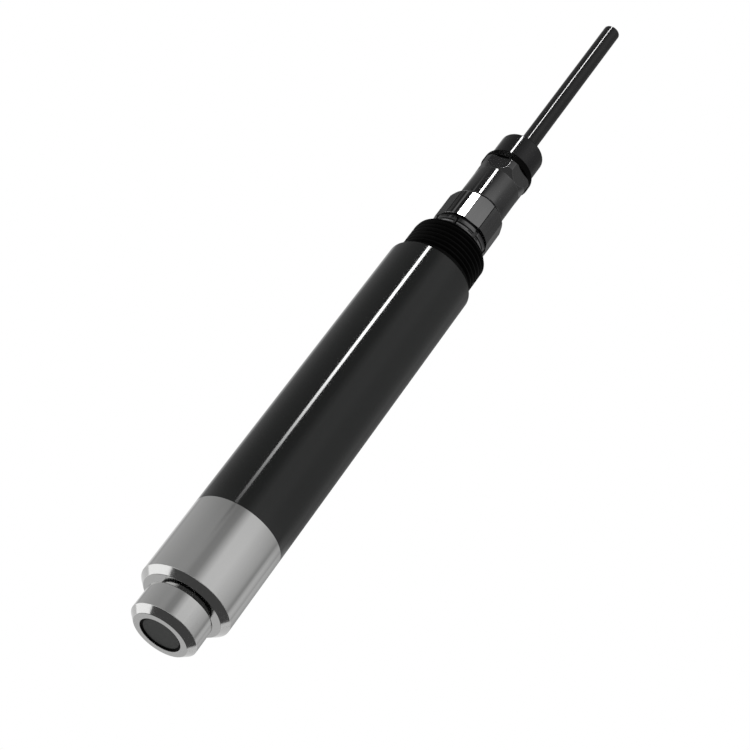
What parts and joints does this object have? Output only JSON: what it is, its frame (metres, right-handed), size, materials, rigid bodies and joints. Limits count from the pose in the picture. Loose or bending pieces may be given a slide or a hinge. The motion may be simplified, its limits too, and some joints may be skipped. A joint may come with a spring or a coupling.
{
  "type": "optical dissolved oxygen sensor",
  "caption": "Slim round water-quality probe: stainless optical sensing head, black tube, threaded rear plug, screw-on cable connector and straight cable.",
  "frame": {"origin": "middle of the nose's front face", "axes": "+Z along the probe's axis from the nose to the cable; a flat of the coupling nut, turned by 2 degrees, and a corner of the plug's hexagon face -Y"},
  "size_m": [0.03, 0.03, 0.2944],
  "materials": {
    "head_steel": "satin turned stainless steel",
    "spring_steel": "plain steel",
    "tube_plastic": "satin black moulded tube",
    "thread_plastic": "black turned plastic",
    "connector_plastic": "glossy black moulded plastic",
    "insulator_plastic": "moulded insulator",
    "contact_gold": "gold-plated brass",
    "seal_rubber": "black rubber",
    "cable_jacket": "fine matt cable jacket",
    "luminescent_film": "dark coated sensing foil",
    "window_glass": "polished clear glass",
    "clear_guide": "clear acrylic",
    "black_anodised": "black anodised",
    "blue_lamp": "clear blue epoxy",
    "red_lamp": "clear red epoxy",
    "detector_epoxy": "dark epoxy",
    "filter_glass": "red filter glass",
    "bead_epoxy": "epoxy-dipped bead",
    "board_green": "green solder mask",
    "chip_black": "moulded chip body",
    "capacitor_can": "bare can",
    "carrier_plastic": "white moulded plastic",
    "wire_insulation": "thin wire insulation",
    "collet_plastic": "black moulded plastic"
  },
  "bodies": {
    "probe": {"sensor_head": "head_steel", "body_tube": "tube_plastic", "rear_plug": "thread_plastic", "lock_ring": "connector_plastic", "receptacle_shell": "connector_plastic", "receptacle_insert": "insulator_plastic", "contact_pins": "contact_gold", "cap_o_ring": "seal_rubber", "head_o_ring_1": "seal_rubber", "head_o_ring_2": "seal_rubber", "plug_o_ring_1": "seal_rubber", "plug_o_ring_2": "seal_rubber", "window_seal": "seal_rubber", "receptacle_gasket": "seal_rubber", "optical_window": "window_glass", "light_guide": "clear_guide", "optics_block": "black_anodised", "excitation_led": "blue_lamp", "reference_led": "red_lamp", "photodiode": "detector_epoxy", "long_pass_filter": "filter_glass", "thermistor": "bead_epoxy", "main_board": "board_green", "sensor_board": "board_green", "processor_chip": "chip_black", "amplifier_chips": "chip_black", "bus_driver_chip": "chip_black", "power_converter": "chip_black", "link_header": "chip_black", "capacitors": "capacitor_can", "front_carrier": "carrier_plastic", "rear_carrier": "carrier_plastic", "wire_socket": "carrier_plastic", "board_wires": "wire_insulation"},
    "cap_carrier": {"luminescent_disc": "luminescent_film"},
    "cap": {"sensing_cap": "head_steel"},
    "plug": {"plug_shell": "connector_plastic", "plug_insert": "insulator_plastic", "socket_contacts": "contact_gold", "plug_face_seal": "seal_rubber", "nut_retaining_ring": "spring_steel", "cable_cores": "wire_insulation", "cable_grommet": "seal_rubber", "cable_collet": "collet_plastic", "joint_ring": "seal_rubber", "cable_in_plug": "cable_jacket", "cable": "cable_jacket"},
    "nut": {"coupling_nut": "connector_plastic"},
    "washer": {"thrust_washer": "spring_steel"},
    "clamp": {"clamp_nut": "connector_plastic"}
  },
  "joints": [
    {"name": "cap_travel", "type": "slide", "parent": "probe", "child": "cap_carrier", "axis": [0, 0, -1], "range_m": [0, 0.006]},
    {"name": "cap_turn", "type": "hinge", "parent": "cap_carrier", "child": "cap", "pos_m": [0, 0, 0.005], "axis": [0, 0, -1], "range_deg": [0, 1440]},
    {"name": "plug_travel", "type": "slide", "parent": "probe", "child": "plug", "axis": [0, 0, 1], "range_m": [0, 0.0045]},
    {"name": "nut_turn", "type": "hinge", "parent": "plug", "child": "nut", "pos_m": [0, 0, 0.184], "axis": [0, 0, 1], "range_deg": [0, 1080]},
    {"name": "washer_travel", "type": "slide", "parent": "plug", "child": "washer", "axis": [0, 0, 1], "range_m": [0, 0.003]},
    {"name": "clamp_turn", "type": "hinge", "parent": "washer", "child": "clamp", "pos_m": [0, 0, 0.2185], "axis": [0, 0, 1], "range_deg": [0, 1080]}
  ],
  "couplings": [
    {"joint": "cap_travel", "follows": "cap_turn", "m_per_rad": 0.00023873},
    {"joint": "plug_travel", "follows": "nut_turn", "m_per_rad": 0.00023873},
    {"joint": "washer_travel", "follows": "clamp_turn", "m_per_rad": 0.00015915}
  ]
}
